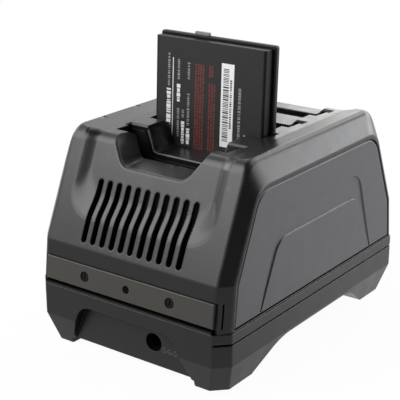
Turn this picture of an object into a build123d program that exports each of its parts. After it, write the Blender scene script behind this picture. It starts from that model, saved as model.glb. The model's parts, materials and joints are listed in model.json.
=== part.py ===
from build123d import *
from math import atan, cos, degrees, pi, radians, sin, tan
import os

# A desktop charger with four leaning bays for slab batteries, one of them holding a battery.
# Millimetres, +Z up, the front faces -Y, the origin is on the table under the middle of the case.

# Casing envelope
case_width = 100.0
case_depth = 143.3
corner_chamfer = 5.7
edge_round = 1.2
parting_height = 28.0
cut_over = 1.0

# Upper casing
casing_step = 0.4
casing_round = 3.0
lower_draft = 2.2
lower_rise = 19.5
slope_angle = 23.5
top_height = 93.6
top_round = 8.5
shoulder_width = 4.9
shoulder_setback = 5.5
shoulder_drop = 10.2
shoulder_round = 13.0
side_wall = 2.2
front_wall = 4.4
rail_rise = 1.6
deck_thickness = 2.4
deck_flat_width = 68.0
rail_inset = 6.3

# Finger channel from the front wall to the filled bay, and the shallow dish behind that bay
channel_top_width = 42.4
channel_floor_width = 34.4
channel_depth = 11.2
dish_top_width = 51.0
dish_floor_width = 45.0
dish_depth = 2.9
channel_round = 2.5
channel_edge_round = 3.0
channel_flare = 4.0

# Scoop in the front wall that opens the channel to the front
scoop_floor_width = 33.6
scoop_top_width = 51.0
scoop_depth = 12.4
scoop_round = 7.5
lip_round = 1.0
lip_steps = 4

# Rounded edge between the deck and the front and rear slopes
deck_edge_round = 7.5
deck_edge_lift = 0.05
deck_edge_run = 3.0
deck_edge_rise = 1.0

# Vents and the shallow basin above them
vent_count = 11
vent_pitch = 5.0
vent_width = 2.7
vent_foot_rise = 2.2
vent_rise = 25.6
basin_width = 76.0
basin_foot_rise = 11.0
basin_round = 12.0
basin_side_run = 6.5
basin_foot_run = 11.0
basin_depth = 2.4
basin_steps = 8

# Side panels with their sunk arch band
panel_border = 1.5
panel_gap = 0.35
panel_thickness = 1.4
panel_bevel = 0.6
panel_low_gap = 0.6
band_depth = 0.6
band_draft = 30.0
band_end_gap = 25.65
band_lean = 13.0
band_rise = 20.6
band_window_lean = 14.0
band_top_width = 10.9
band_round = 9.0
band_foot_width = 1.0

# Base tray
base_floor = 1.6
tray_wall = 2.2
foot_zone_height = 13.75
foot_taper = 4.0
groove_drop = 4.6
groove_width = 0.9
groove_depth = 0.7
tub_inset = 17.0
tub_bottom = 3.5
recess_depth = 4.7
recess_drop = 6.0
recess_top_inset = 8.5
recess_foot_spread = 0.5
recess_round = 8.0
arch_drop = 1.25
arch_lean = 18.0
leg_length = 24.65
arch_round = 22.0

# Feet and the screws that close the case
leg_inset = 10.8
foot_pad_inset = 18.65
foot_pad_diameter = 9.0
foot_pad_height = 0.8
foot_pad_seat = 0.7
screw_inset = 10.05
screw_head_diameter = 5.6
screw_head_height = 2.4
screw_shank_diameter = 3.0
screw_seat_drop = 8.0
screw_length = 22.0
screw_clearance = 0.2
post_diameter = 7.5

# Strip across the front
strip_end_gap = 5.8
strip_foot_gap = 2.3
strip_height = 10.3
strip_thickness = 1.6
strip_seat = 1.3
strip_gap = 0.4
strip_end_play = 1.5
slit_inset = 3.2
slit_width = 0.6
slit_cut = 6.5
strip_bevel = 0.3
strip_screw_spread = 45.0
strip_screw_rise = 5.3
strip_screw_hole = 4.6
strip_screw_head = 3.4
strip_screw_head_height = 0.8
strip_screw_shank = 2.2
strip_screw_length = 4.6
strip_screw_sink = 1.2
driver_slot = 0.7
driver_depth = 0.4
driver_share = 0.6
power_lens_diameter = 3.3
power_lens_flange = 4.6
power_lens_flange_height = 1.0
power_led_diameter = 3.0
power_led_length = 4.0
power_led_lead = 0.5
power_led_pitch = 1.6

# Bays
bay_count = 4
first_bay_inset = 38.75
last_bay_inset = 35.85
bay_lean = 2.5
slot_clearance = 0.4
slot_lead = 0.5
ramp_run = 3.2
ramp_depth = 1.6
well_wall = 1.8
well_floor = 2.0

# Battery
filled_bay = 1
pack_width = 57.0
pack_thickness = 5.4
cover_width = 60.0
cover_thickness = 2.6
battery_length = 72.4
battery_proud = 37.6
cover_rise = 1.5
battery_edge_round = 0.6
pack_side_round = 1.0
cover_corner_round = 1.2
cover_tab_width = 7.4
cover_tab_height = 1.4
cover_tab_offset = -8.0
cover_tab_thickness = 1.4
cover_tab_round = 0.5
label_margin = 1.2
label_top_margin = 1.6
label_length = 64.0
label_thickness = 0.15
pad_width = 4.0
pad_depth = 2.6
pad_thickness = 0.4

# Spring contacts
pin_count = 4
pin_pitch = 6.0
pin_diameter = 1.4
pin_collar_diameter = 2.0
pin_collar_height = 1.2
pin_bore_clearance = 0.08
pin_stroke = 1.2
pin_press = 0.6
pin_tip_share = 0.3
block_roof = 1.0
contact_block_width = 28.0
contact_block_depth = 6.0
contact_block_height = 6.0
block_clearance = 0.2

# Circuit boards
board_thickness = 1.6
contact_board_gap = 8.0
contact_board_end = 13.65
board_post_inset = 3.8
board_post_diameter = 5.6
board_screw_diameter = 2.2
board_screw_head = 4.2
board_screw_head_height = 1.6
board_screw_length = 7.0
power_board_side_gap = 1.8
power_board_end_gap = 1.75
power_board_gap = 1.8
standoff_diameter = 6.0
standoff_side_inset = 5.0
standoff_end_gap = 2.3
led_board_width = 3.0
led_board_end = 4.65
led_board_thickness = 1.0
status_lens_size = 2.8
status_inset = 7.2
status_lens_foot = 5.8
status_lens_recess = 0.4
lens_clearance = 0.1
status_led_size = 2.2
status_led_height = 1.2

# Power inlet and the parts on the boards
jack_x = 11.4
jack_axis_rise = 5.2
jack_opening = 8.2
jack_width = 9.0
jack_length = 14.2
jack_body_height = 9.6
jack_bore = 6.2
jack_bore_depth = 9.5
jack_pin_diameter = 2.0
jack_pin_length = 6.5
chip_size = 6.5
chip_height = 1.0
chip_x = 24.0
coil_size = 10.0
coil_height = 5.2
coil_round = 2.0
coil_x = 14.0
coil_y = 12.0
capacitor_diameter = 8.0
capacitor_height = 11.5
capacitor_pitch = 11.0
capacitor_count = 3
capacitor_y = -13.0
capacitor_x = -16.0
cable_width = 10.0
cable_thickness = 1.2
cable_side_inset = 15.0
cable_inset = 9.45
connector_width = 13.0
connector_depth = 5.0
connector_height = 6.0

# Places worked out from the sizes above
half_width = case_width / 2
half_depth = case_depth / 2
casing_half_width = half_width - casing_step
break_height = parting_height + lower_rise
shoulder_height = top_height - shoulder_drop
deck_height = top_height - rail_rise
rail_inner_width = case_width - 2 * rail_inset
vent_low = break_height + vent_foot_rise
vent_high = vent_low + vent_rise
basin_low = break_height + basin_foot_rise
basin_floor_width = basin_width - 2 * basin_side_run
basin_floor_low = basin_low + basin_foot_run
band_foot_length = case_depth - 2 * band_end_gap
band_top_length = band_foot_length - 2 * band_lean
band_top = break_height + band_rise
band_window_length = band_foot_length - 2 * band_window_lean
band_window_top = band_top - band_top_width
groove_height = parting_height - groove_drop
tub_width = case_width - 2 * tub_inset
recess_top = parting_height - recess_drop
recess_top_width = tub_width - 2 * recess_top_inset
recess_foot_width = tub_width + 2 * recess_foot_spread
arch_top = foot_zone_height - arch_drop
arch_foot_length = case_depth - 2 * leg_length
arch_top_length = arch_foot_length - 2 * arch_lean
leg_x = half_width - leg_inset
foot_pad_y = half_depth - foot_pad_inset
screw_y = half_depth - screw_inset
screw_seat_height = parting_height - screw_seat_drop
strip_width = case_width - 2 * strip_end_gap
strip_low = parting_height + strip_foot_gap
strip_high = strip_low + strip_height
strip_screw_height = strip_low + strip_screw_rise
bay_pitch = (case_depth - first_bay_inset - last_bay_inset) / (bay_count - 1)
first_bay_y = first_bay_inset - half_depth
bay_row_length = (bay_count - 1) * bay_pitch
board_middle_y = first_bay_y + bay_row_length / 2
contact_board_width = case_width - 2 * contact_board_gap
contact_board_depth = bay_row_length + 2 * contact_board_end
board_post_x = contact_board_width / 2 - board_post_inset
led_board_length = bay_row_length + 2 * led_board_end
status_lens_x = status_inset - half_width
cable_y = board_middle_y + contact_board_depth / 2 - cable_inset
shoulder_x = casing_half_width - shoulder_width
slope = tan(radians(slope_angle))
draft = lower_draft / (break_height - parting_height)
break_y = -(half_depth - casing_step - lower_draft)
lean_up = (0, sin(radians(bay_lean)), cos(radians(bay_lean)))
deck_under = deck_height - deck_thickness
battery_thickness = pack_thickness + cover_thickness
slot_depth = battery_thickness + 2 * slot_clearance
channel_start_y = first_bay_y - slot_depth / 2
pack_slot_width = pack_width + 2 * slot_clearance
cover_slot_width = cover_width + 2 * slot_clearance
cover_front = battery_thickness / 2 - cover_thickness
battery_foot = battery_proud - battery_length
bay_floor = battery_foot - slot_clearance
well_foot = bay_floor - well_floor
contact_board_top = deck_height + well_foot - contact_block_height
tub_floor = tub_bottom + base_floor
tub_end = half_depth - recess_depth
power_board_top = tub_floor + power_board_gap + board_thickness
power_board_width = tub_width - 2 * (tray_wall + power_board_side_gap)
power_board_depth = 2 * (tub_end - tray_wall - power_board_end_gap)
standoff_x = power_board_width / 2 - standoff_side_inset
standoff_y = power_board_depth / 2 - jack_length - standoff_end_gap
jack_height = power_board_top + jack_axis_rise
cable_x = cable_side_inset - power_board_width / 2
led_board_top = top_height - status_lens_recess - status_lens_foot - status_led_height
front_share = cos(radians(slope_angle))
lower_angle = degrees(atan(draft))
contact_row = (pack_thickness - battery_thickness) / 2
pin_row = [((i - (pin_count - 1) / 2) * pin_pitch, contact_row) for i in range(pin_count)]
board_post_rows = (first_bay_y + bay_pitch / 2, first_bay_y + bay_row_length - bay_pitch / 2)
board_post_places = [(x, y) for x in (-board_post_x, board_post_x) for y in board_post_rows]
status_places = [(status_lens_x, first_bay_y + bay * bay_pitch) for bay in range(bay_count)]


def bay_plane(bay, height=0):
    """Leaning frame of a bay: x across, y towards the back, z up along the battery."""
    middle = (0, first_bay_y + bay * bay_pitch, deck_height)
    return Plane(origin=middle, x_dir=(1, 0, 0), z_dir=lean_up).offset(height)


def front_plane(height, angle, out=0):
    """Plane on the front face at a height, with y up the face and z out of it."""
    face_y = break_y + (height - break_height) * tan(radians(angle))
    outward = (0, -cos(radians(angle)), sin(radians(angle)))
    return Plane(origin=(0, face_y, height), x_dir=(1, 0, 0), z_dir=outward).offset(out)


def side_outline(x, setback, floor, top, radius, inset=0):
    """Casing seen from the side at x: drafted foot, leaning faces and a rounded top."""
    foot_y = break_y + setback - (break_height - floor) * draft
    knee_y = break_y + setback
    top_y = knee_y + (top - break_height) * slope
    with BuildSketch(Plane.YZ.offset(x)) as outline:
        with BuildLine():
            Polyline(
                (foot_y, floor),
                (knee_y, break_height),
                (top_y, top),
                (-top_y, top),
                (-knee_y, break_height),
                (-foot_y, floor),
                close=True,
            )
        make_face()
        fillet(outline.vertices().group_by(Axis.Y)[-1], radius)
        offset(amount=-inset, kind=Kind.INTERSECTION)
    return outline.sketch


def casing_form(setback, inset, floor, top, shoulder):
    """Casing shape between four side outlines, narrowing at the shoulders."""
    middle = shoulder_x - inset / 2
    outer = casing_half_width - inset
    full = setback + shoulder_setback
    with BuildPart() as form:
        sections = [
            side_outline(-outer, full, floor, shoulder, shoulder_round - inset),
            side_outline(-middle, setback, floor, top, top_round - inset),
            side_outline(middle, setback, floor, top, top_round - inset),
            side_outline(outer, full, floor, shoulder, shoulder_round - inset),
        ]
        loft(sections, ruled=True)
    return form.part


def channel_form(start_y, length, floor_width, top_width, depth, margin):
    """Channel sunk in the deck, running back from a place, or with a margin the outside of its lining."""
    low = floor_width / 2
    high = top_width / 2
    floor = deck_height - depth
    mouth = top_height + cut_over
    with BuildSketch(Plane.XZ.offset(-start_y)) as section:
        with BuildLine():
            Polyline(
                (-low, floor),
                (low, floor),
                (high, deck_height),
                (high + channel_flare, deck_height),
                (high + channel_flare, mouth),
                (-high - channel_flare, mouth),
                (-high - channel_flare, deck_height),
                (-high, deck_height),
                close=True,
            )
        make_face()
        corners = section.vertices().group_by(Axis.Y)
        fillet(corners[0], channel_round)
        fillet(corners[1].sort_by(Axis.X)[1:-1], channel_edge_round)
        offset(amount=margin)
    with BuildPart() as form:
        extrude(section.sketch, amount=-length)
    return form.part


def scoop_outline(share):
    """Scoop at a share of the way out through its rounded lip, on a plane along the front slope."""
    depth = basin_depth + lip_round * (1 - sin(share * pi / 2))
    foot = top_height - depth * sin(radians(slope_angle))
    floor = deck_height - scoop_depth
    mouth = top_height + cut_over
    flank = (scoop_top_width - scoop_floor_width) / 2 / scoop_depth
    low = scoop_floor_width / 2
    high = low + (mouth - floor) * flank
    floor_y = (floor - foot) / front_share
    mouth_y = (mouth - foot) / front_share
    with BuildSketch(front_plane(top_height, slope_angle, -depth)) as outline:
        with BuildLine():
            Polyline((-low, floor_y), (low, floor_y), (high, mouth_y), (-high, mouth_y), close=True)
        make_face()
        fillet(outline.vertices().group_by(Axis.Y)[0], scoop_round)
        offset(amount=-lip_round * cos(share * pi / 2))
    return outline.sketch


def channel_mouth():
    """Finger channel's section at the first bay, where the scoop's floor and flanks run into it."""
    floor = deck_height - channel_depth
    mouth = top_height + cut_over
    flank = (channel_top_width - channel_floor_width) / 2 / channel_depth
    low = channel_floor_width / 2
    high = low + (mouth - floor) * flank
    with BuildSketch(Plane.XZ.offset(-channel_start_y)) as outline:
        with BuildLine():
            Polyline((-low, floor), (low, floor), (high, mouth), (-high, mouth), close=True)
        make_face()
        fillet(outline.vertices().group_by(Axis.Y)[0], channel_round)
    return outline.sketch


def deck_edge_outline(x, height, depth):
    """Space outside the rounded edge between a top at a height and a slope set in by a depth, at x."""
    corner_y = break_y + (height - break_height) * slope + depth / front_share
    run = deck_edge_round * tan(radians((90 - slope_angle) / 2))
    foot = (corner_y - run * sin(radians(slope_angle)), height - run * front_share)
    back = (corner_y + run, height)
    out_foot = (foot[0] - cut_over * front_share, foot[1] + cut_over * sin(radians(slope_angle)))
    out_corner = (corner_y - cut_over, height + cut_over)
    out_back = (back[0], height + cut_over)
    with BuildSketch(Plane.YZ.offset(x)) as outline:
        with BuildLine():
            Polyline(foot, out_foot, out_corner, out_back, back)
            TangentArc(back, foot, tangent=(-1, 0))
        make_face()
    return outline.sketch


def basin_step(share):
    """Half width and depth of the basin at a share of the way down its edge, which follows a smooth step."""
    half = (basin_width + share * (basin_floor_width - basin_width)) / 2
    return half, basin_depth * share * share * (3 - 2 * share)


def deck_edge_sections():
    """Outlines of the rounded deck edge from the left rail to the right, deepest at the basin's floor."""
    places = [(basin_width / 2 + deck_edge_run, -deck_edge_run, deck_edge_rise)]
    for step in range(basin_steps + 1):
        half, depth = basin_step(step / basin_steps)
        places.append((half, depth - deck_edge_lift, deck_edge_lift))
    sections = []
    for half, depth, lift in places:
        rail_share = max(0, 2 * half - deck_flat_width) / (rail_inner_width - deck_flat_width)
        sections.append((half, deck_height + rail_rise * rail_share + lift, depth))
    left = [deck_edge_outline(-half, height, depth) for half, height, depth in sections]
    right = [deck_edge_outline(half, height, depth) for half, height, depth in reversed(sections)]
    return left + right


def slot_outline(plane, margin=0):
    """Stepped slot of a bay: the pack in front, the wider cover behind."""
    with BuildSketch(plane) as outline:
        Rectangle(pack_slot_width, slot_depth)
        step = cover_front - slot_clearance
        with Locations((0, step)):
            Rectangle(cover_slot_width, slot_depth / 2 - step, align=(Align.CENTER, Align.MIN))
        offset(amount=margin, kind=Kind.INTERSECTION)
    return outline.sketch


def slot_form(bay):
    """Space of a bay from its floor up through the deck, with a lead-in at the mouth and a ramp in front."""
    with BuildPart() as form:
        extrude(slot_outline(bay_plane(bay, bay_floor)), amount=-bay_floor)
        loft([slot_outline(bay_plane(bay, -slot_lead)), slot_outline(bay_plane(bay), slot_lead)], ruled=True)
        extrude(slot_outline(bay_plane(bay), slot_lead), amount=cut_over)
        slot_front = first_bay_y + bay * bay_pitch - slot_depth / 2
        with BuildSketch(Plane.YZ) as ramp:
            with BuildLine():
                Polyline(
                    (slot_front - ramp_run, deck_height),
                    (slot_front, deck_height - ramp_depth),
                    (slot_front + ramp_run, deck_height - ramp_depth),
                    (slot_front + ramp_run, deck_height + cut_over),
                    (slot_front - ramp_run, deck_height + cut_over),
                    close=True,
                )
            make_face()
        extrude(ramp.sketch, amount=pack_slot_width / 2, both=True)
    return form.part


def basin_outline(share):
    """Basin at a share of the way down its soft edge."""
    half, depth = basin_step(share)
    low = basin_low + share * (basin_floor_low - basin_low)
    with BuildSketch(front_plane(top_height, slope_angle, -depth)) as outline:
        Rectangle(2 * half, 2 * (top_height - low) / front_share)
        fillet(outline.vertices(), basin_round)
    return outline.sketch


def panel_outline(x, gap):
    """Side panel at x, inside the border that the casing leaves round it."""
    inset = panel_border + gap
    floor = parting_height + panel_low_gap - panel_border
    return side_outline(x, shoulder_setback, floor, shoulder_height, shoulder_round, inset)


def base_outline(plane, inset):
    """Plan of the base with its corners cut off."""
    with BuildSketch(plane) as outline:
        Rectangle(case_width - 2 * inset, case_depth - 2 * inset)
        chamfer(outline.vertices(), corner_chamfer)
    return outline.sketch


def save(part, name):
    """Label a finished piece and write its file."""
    part.label = name
    export_step(part, f"parts/{name}.step")


os.makedirs("parts", exist_ok=True)

# Outside of the upper casing, with its creases rounded
with BuildPart() as casing_body:
    add(casing_form(0, 0, parting_height, top_height, shoulder_height))
    creases = casing_body.edges().filter_by_position(Axis.Z, break_height, break_height)
    for x in (-casing_half_width, -shoulder_x, shoulder_x, casing_half_width):
        ridge = casing_body.edges().filter_by_position(Axis.X, x, x)
        creases += ridge.filter_by_position(Axis.Z, parting_height, top_height, (False, True))
    fillet(creases, casing_round)
casing_outer = casing_body.part
filled_y = first_bay_y + filled_bay * bay_pitch
channel_sizes = (channel_floor_width, channel_top_width, channel_depth)
dish_sizes = (dish_floor_width, dish_top_width, dish_depth)
mouth_sizes = (channel_floor_width, channel_top_width, scoop_depth)
with BuildPart() as finger_channel:
    add(channel_form(channel_start_y, filled_y - channel_start_y, *channel_sizes, 0))
    add(channel_form(filled_y, half_depth - filled_y, *dish_sizes, 0))
with BuildPart() as trough_lining:
    add(channel_form(-half_depth, channel_start_y + half_depth, *mouth_sizes, deck_thickness))
    add(channel_form(channel_start_y, filled_y - channel_start_y, *channel_sizes, deck_thickness))
    add(channel_form(filled_y, half_depth - filled_y, *dish_sizes, deck_thickness))
trough_outside = trough_lining.part
cavity_shoulder = shoulder_height - side_wall
casing_cavity = casing_form(front_wall, side_wall, parting_height - cut_over, deck_under, cavity_shoulder)
slots = [slot_form(bay) for bay in range(bay_count)]

# Vent slots through the front slope, and the basin sunk round their upper ends
with BuildPart() as front_relief:
    vent_middle = (vent_low + vent_high) / 2
    vent_length = (vent_high - vent_low) / front_share
    with BuildSketch(front_plane(vent_middle, slope_angle, cut_over)) as vent_slots:
        with GridLocations(vent_pitch, vent_pitch, vent_count, 1):
            SlotOverall(vent_length, vent_width, rotation=90)
    extrude(vent_slots.sketch, amount=-(front_wall + cut_over))
    loft([basin_outline(step / basin_steps) for step in range(basin_steps + 1)], ruled=True)
    extrude(basin_outline(0), amount=cut_over)
    loft(deck_edge_sections(), ruled=True)

# Scoop through the front wall, from its rounded lip back to the first bay
with BuildPart() as front_scoop:
    loft([scoop_outline(step / lip_steps) for step in range(lip_steps + 1)], ruled=True)
    loft([scoop_outline(0), channel_mouth()], ruled=True)

# Seat of the front strip, with the wide shadow gap under it
strip_middle = (strip_low + strip_high) / 2
strip_rise = (strip_high - strip_low) / cos(radians(lower_angle))
strip_places = [(-strip_screw_spread / 2, 0), (strip_screw_spread / 2, 0)]
with BuildPart() as strip_pocket:
    with BuildSketch(front_plane(strip_high + strip_gap, lower_angle, cut_over)):
        seat_rise = (strip_high + strip_gap - parting_height) / cos(radians(lower_angle))
        Rectangle(strip_width + 2 * strip_end_play, seat_rise + cut_over, align=(Align.CENTER, Align.MAX))
    extrude(amount=-(strip_seat + cut_over))
    with BuildSketch(front_plane(strip_screw_height, lower_angle)):
        with Locations(strip_places):
            Circle(strip_screw_shank / 2)
    extrude(amount=-(strip_seat + strip_screw_length))
    with BuildSketch(front_plane(strip_screw_height, lower_angle)):
        Circle(power_lens_diameter / 2 + lens_clearance)
    extrude(amount=-(front_wall + cut_over))
    with BuildSketch(Plane.XZ.offset(half_depth)) as slits:
        with Locations((0, strip_middle)):
            with GridLocations(2 * (half_width - slit_inset), strip_height, 2, 1):
                Rectangle(slit_width, strip_height)
    extrude(slits.sketch, amount=-slit_cut)

# Posts inside the upper casing, for the closing screws and for the contact board
with BuildPart() as casing_posts:
    with BuildSketch(Plane.XY.offset(parting_height)):
        with GridLocations(2 * leg_x, 2 * screw_y, 2, 2):
            Circle(post_diameter / 2)
    extrude(amount=top_height - parting_height)
    with BuildSketch(Plane.XY.offset(contact_board_top)):
        with Locations(board_post_places):
            Circle(board_post_diameter / 2)
    extrude(amount=deck_under - contact_board_top)
    add(casing_outer, mode=Mode.INTERSECT)

with BuildPart() as casing_trough:
    add(trough_outside)
    add(casing_outer, mode=Mode.INTERSECT)

# Upper casing with its deck, trough, posts, vents and slots
with BuildPart() as upper_casing:
    add(casing_outer)
    add(casing_cavity, mode=Mode.SUBTRACT)
    add(casing_trough.part)
    add(casing_posts.part)
    with BuildSketch(Plane.XZ):
        with BuildLine():
            Polyline(
                (-rail_inner_width / 2, top_height),
                (-deck_flat_width / 2, deck_height),
                (deck_flat_width / 2, deck_height),
                (rail_inner_width / 2, top_height),
                (rail_inner_width / 2, top_height + cut_over),
                (-rail_inner_width / 2, top_height + cut_over),
                close=True,
            )
        make_face()
    extrude(amount=half_depth, both=True, mode=Mode.SUBTRACT)
    add(finger_channel.part, mode=Mode.SUBTRACT)
    add(front_scoop.part, mode=Mode.SUBTRACT)
    for slot in slots:
        add(slot, mode=Mode.SUBTRACT)
    add(front_relief.part, mode=Mode.SUBTRACT)
    add(mirror(front_relief.part, about=Plane.XZ, mode=Mode.PRIVATE), mode=Mode.SUBTRACT)
    add(strip_pocket.part, mode=Mode.SUBTRACT)
    for x, outward in ((casing_half_width, 1), (-casing_half_width, -1)):
        extrude(panel_outline(x, 0), amount=-outward * panel_thickness, mode=Mode.SUBTRACT)
    with BuildSketch(Plane.XY.offset(led_board_top)):
        with Locations(status_places):
            Rectangle(status_lens_size + 2 * lens_clearance, status_lens_size + 2 * lens_clearance)
    extrude(amount=top_height - led_board_top, mode=Mode.SUBTRACT)
    with BuildSketch(Plane.XY.offset(parting_height)):
        with GridLocations(2 * leg_x, 2 * screw_y, 2, 2):
            Circle(screw_shank_diameter / 2)
    extrude(amount=screw_seat_height + screw_length - parting_height, mode=Mode.SUBTRACT)
    with BuildSketch(Plane.XY.offset(contact_board_top)):
        with Locations(board_post_places):
            Circle(board_screw_diameter / 2)
    extrude(amount=board_screw_length - board_thickness, mode=Mode.SUBTRACT)
upper_casing.part.label = "upper_casing"
export_step(upper_casing.part, "parts/upper_casing.step")

# Side panel with a bevelled edge and a sunk arch band, and its mirror image
with BuildPart() as side_panel:
    extrude(panel_outline(casing_half_width - panel_thickness, panel_gap), amount=panel_thickness)
    chamfer(side_panel.faces().sort_by(Axis.X)[-1].edges(), panel_bevel)
    band_foot = parting_height + panel_low_gap + panel_gap + panel_bevel
    with BuildSketch(Plane.YZ.offset(casing_half_width)) as band:
        with BuildLine():
            Polyline(
                (-band_foot_length / 2, band_foot),
                (-band_top_length / 2, band_top),
                (band_top_length / 2, band_top),
                (band_foot_length / 2, band_foot),
                close=True,
            )
        make_face()
        fillet(band.vertices().group_by(Axis.Y)[-1], band_round)
        with BuildLine():
            Polyline(
                (-band_foot_length / 2 + band_foot_width, band_foot),
                (-band_window_length / 2, band_window_top),
                (band_window_length / 2, band_window_top),
                (band_foot_length / 2 - band_foot_width, band_foot),
                close=True,
            )
        make_face(mode=Mode.SUBTRACT)
        window_low = (band_foot + band_window_top) / 2
        window_corners = band.vertices().filter_by_position(Axis.Y, window_low, band_window_top)
        fillet(window_corners, band_round)
    extrude(band.sketch, amount=-band_depth, taper=band_draft, mode=Mode.SUBTRACT)
side_panel.part.label = "side_panel_right"
export_step(side_panel.part, "parts/side_panel_right.step")
save(mirror(side_panel.part, about=Plane.YZ), "side_panel_left")

# Front strip with sunk screws and a hole for the power light
with BuildPart() as front_strip:
    with BuildSketch(front_plane(strip_middle, lower_angle, -strip_seat)):
        Rectangle(strip_width, strip_rise)
    extrude(amount=strip_thickness)
    chamfer(front_strip.faces().sort_by(Axis.Y)[0].edges(), strip_bevel)
    strip_face = strip_thickness - strip_seat
    with BuildSketch(front_plane(strip_screw_height, lower_angle, strip_face)):
        with Locations(strip_places):
            Circle(strip_screw_hole / 2)
    extrude(amount=-strip_screw_sink, mode=Mode.SUBTRACT)
    with BuildSketch(front_plane(strip_screw_height, lower_angle, strip_face)):
        with Locations(strip_places):
            Circle(strip_screw_shank / 2 + screw_clearance)
        Circle(power_lens_diameter / 2 + lens_clearance)
    extrude(amount=-strip_thickness, mode=Mode.SUBTRACT)
front_strip.part.label = "front_strip"
export_step(front_strip.part, "parts/front_strip.step")

with BuildPart() as strip_screws:
    strip_screw_seat = strip_face - strip_screw_sink
    with BuildSketch(front_plane(strip_screw_height, lower_angle, strip_screw_seat)) as strip_heads:
        with Locations(strip_places):
            Circle(strip_screw_head / 2)
    extrude(strip_heads.sketch, amount=strip_screw_head_height)
    with BuildSketch(front_plane(strip_screw_height, lower_angle, strip_screw_seat)) as strip_shanks:
        with Locations(strip_places):
            Circle(strip_screw_shank / 2)
    extrude(strip_shanks.sketch, amount=-strip_screw_length)
    slot_plane = front_plane(strip_screw_height, lower_angle, strip_screw_seat + strip_screw_head_height)
    with BuildSketch(slot_plane) as driver_slots:
        with Locations(strip_places):
            Rectangle(driver_slot, strip_screw_head * driver_share)
    extrude(driver_slots.sketch, amount=-driver_depth, mode=Mode.SUBTRACT)
strip_screws.part.label = "strip_screws"
export_step(strip_screws.part, "parts/strip_screws.step")

# Power light: a rod of clear plastic with a flange, and the lamp behind it on its two leads
wall_depth = front_wall * cos(radians(lower_angle))
with BuildPart() as power_lens:
    with BuildSketch(front_plane(strip_screw_height, lower_angle, -wall_depth)):
        Circle(power_lens_diameter / 2)
    extrude(amount=wall_depth)
    with BuildSketch(front_plane(strip_screw_height, lower_angle, -wall_depth)):
        Circle(power_lens_flange / 2)
    extrude(amount=-power_lens_flange_height)
power_lens.part.label = "power_lens"
export_step(power_lens.part, "parts/power_lens.step")

with BuildPart() as power_led:
    led_front = wall_depth + power_lens_flange_height
    with BuildSketch(front_plane(strip_screw_height, lower_angle, -led_front)):
        Circle(power_led_diameter / 2)
    extrude(amount=-power_led_length)
    lead_y = power_led.faces().sort_by(Axis.Y)[-1].center().Y - power_led_lead
    lead_top = power_led.faces().sort_by(Axis.Y)[-1].center().Z
    with BuildSketch(Plane.XY.offset(power_board_top)):
        with Locations((-power_led_pitch / 2, lead_y), (power_led_pitch / 2, lead_y)):
            Rectangle(power_led_lead, power_led_lead)
    extrude(amount=lead_top - power_board_top)
power_led.part.label = "power_led"
export_step(power_led.part, "parts/power_led.step")

# Base tray: a central tub between four legs, arched open at the sides
with BuildPart() as base_shell:
    loft(
        [
            base_outline(Plane.XY.offset(foot_pad_height), foot_taper),
            base_outline(Plane.XY.offset(foot_zone_height), 0),
        ],
        ruled=True,
    )
    extrude(base_outline(Plane.XY.offset(foot_zone_height), 0), amount=parting_height - foot_zone_height)
    open_ends = (False, False)
    base_creases = base_shell.edges().filter_by_position(Axis.Z, foot_pad_height, parting_height, open_ends)
    fillet(base_creases, edge_round)

with BuildPart() as leg_columns:
    with BuildSketch(Plane.XY.offset(arch_top)):
        with GridLocations(2 * leg_x, 2 * screw_y, 2, 2):
            Circle(screw_head_diameter / 2 + screw_clearance + tray_wall)
    extrude(amount=parting_height - arch_top)
    with BuildSketch(Plane.XY.offset(tub_bottom)):
        with GridLocations(2 * standoff_x, 2 * standoff_y, 2, 2):
            Circle(standoff_diameter / 2)
    extrude(amount=base_floor + power_board_gap)
    add(base_shell.part, mode=Mode.INTERSECT)

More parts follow.
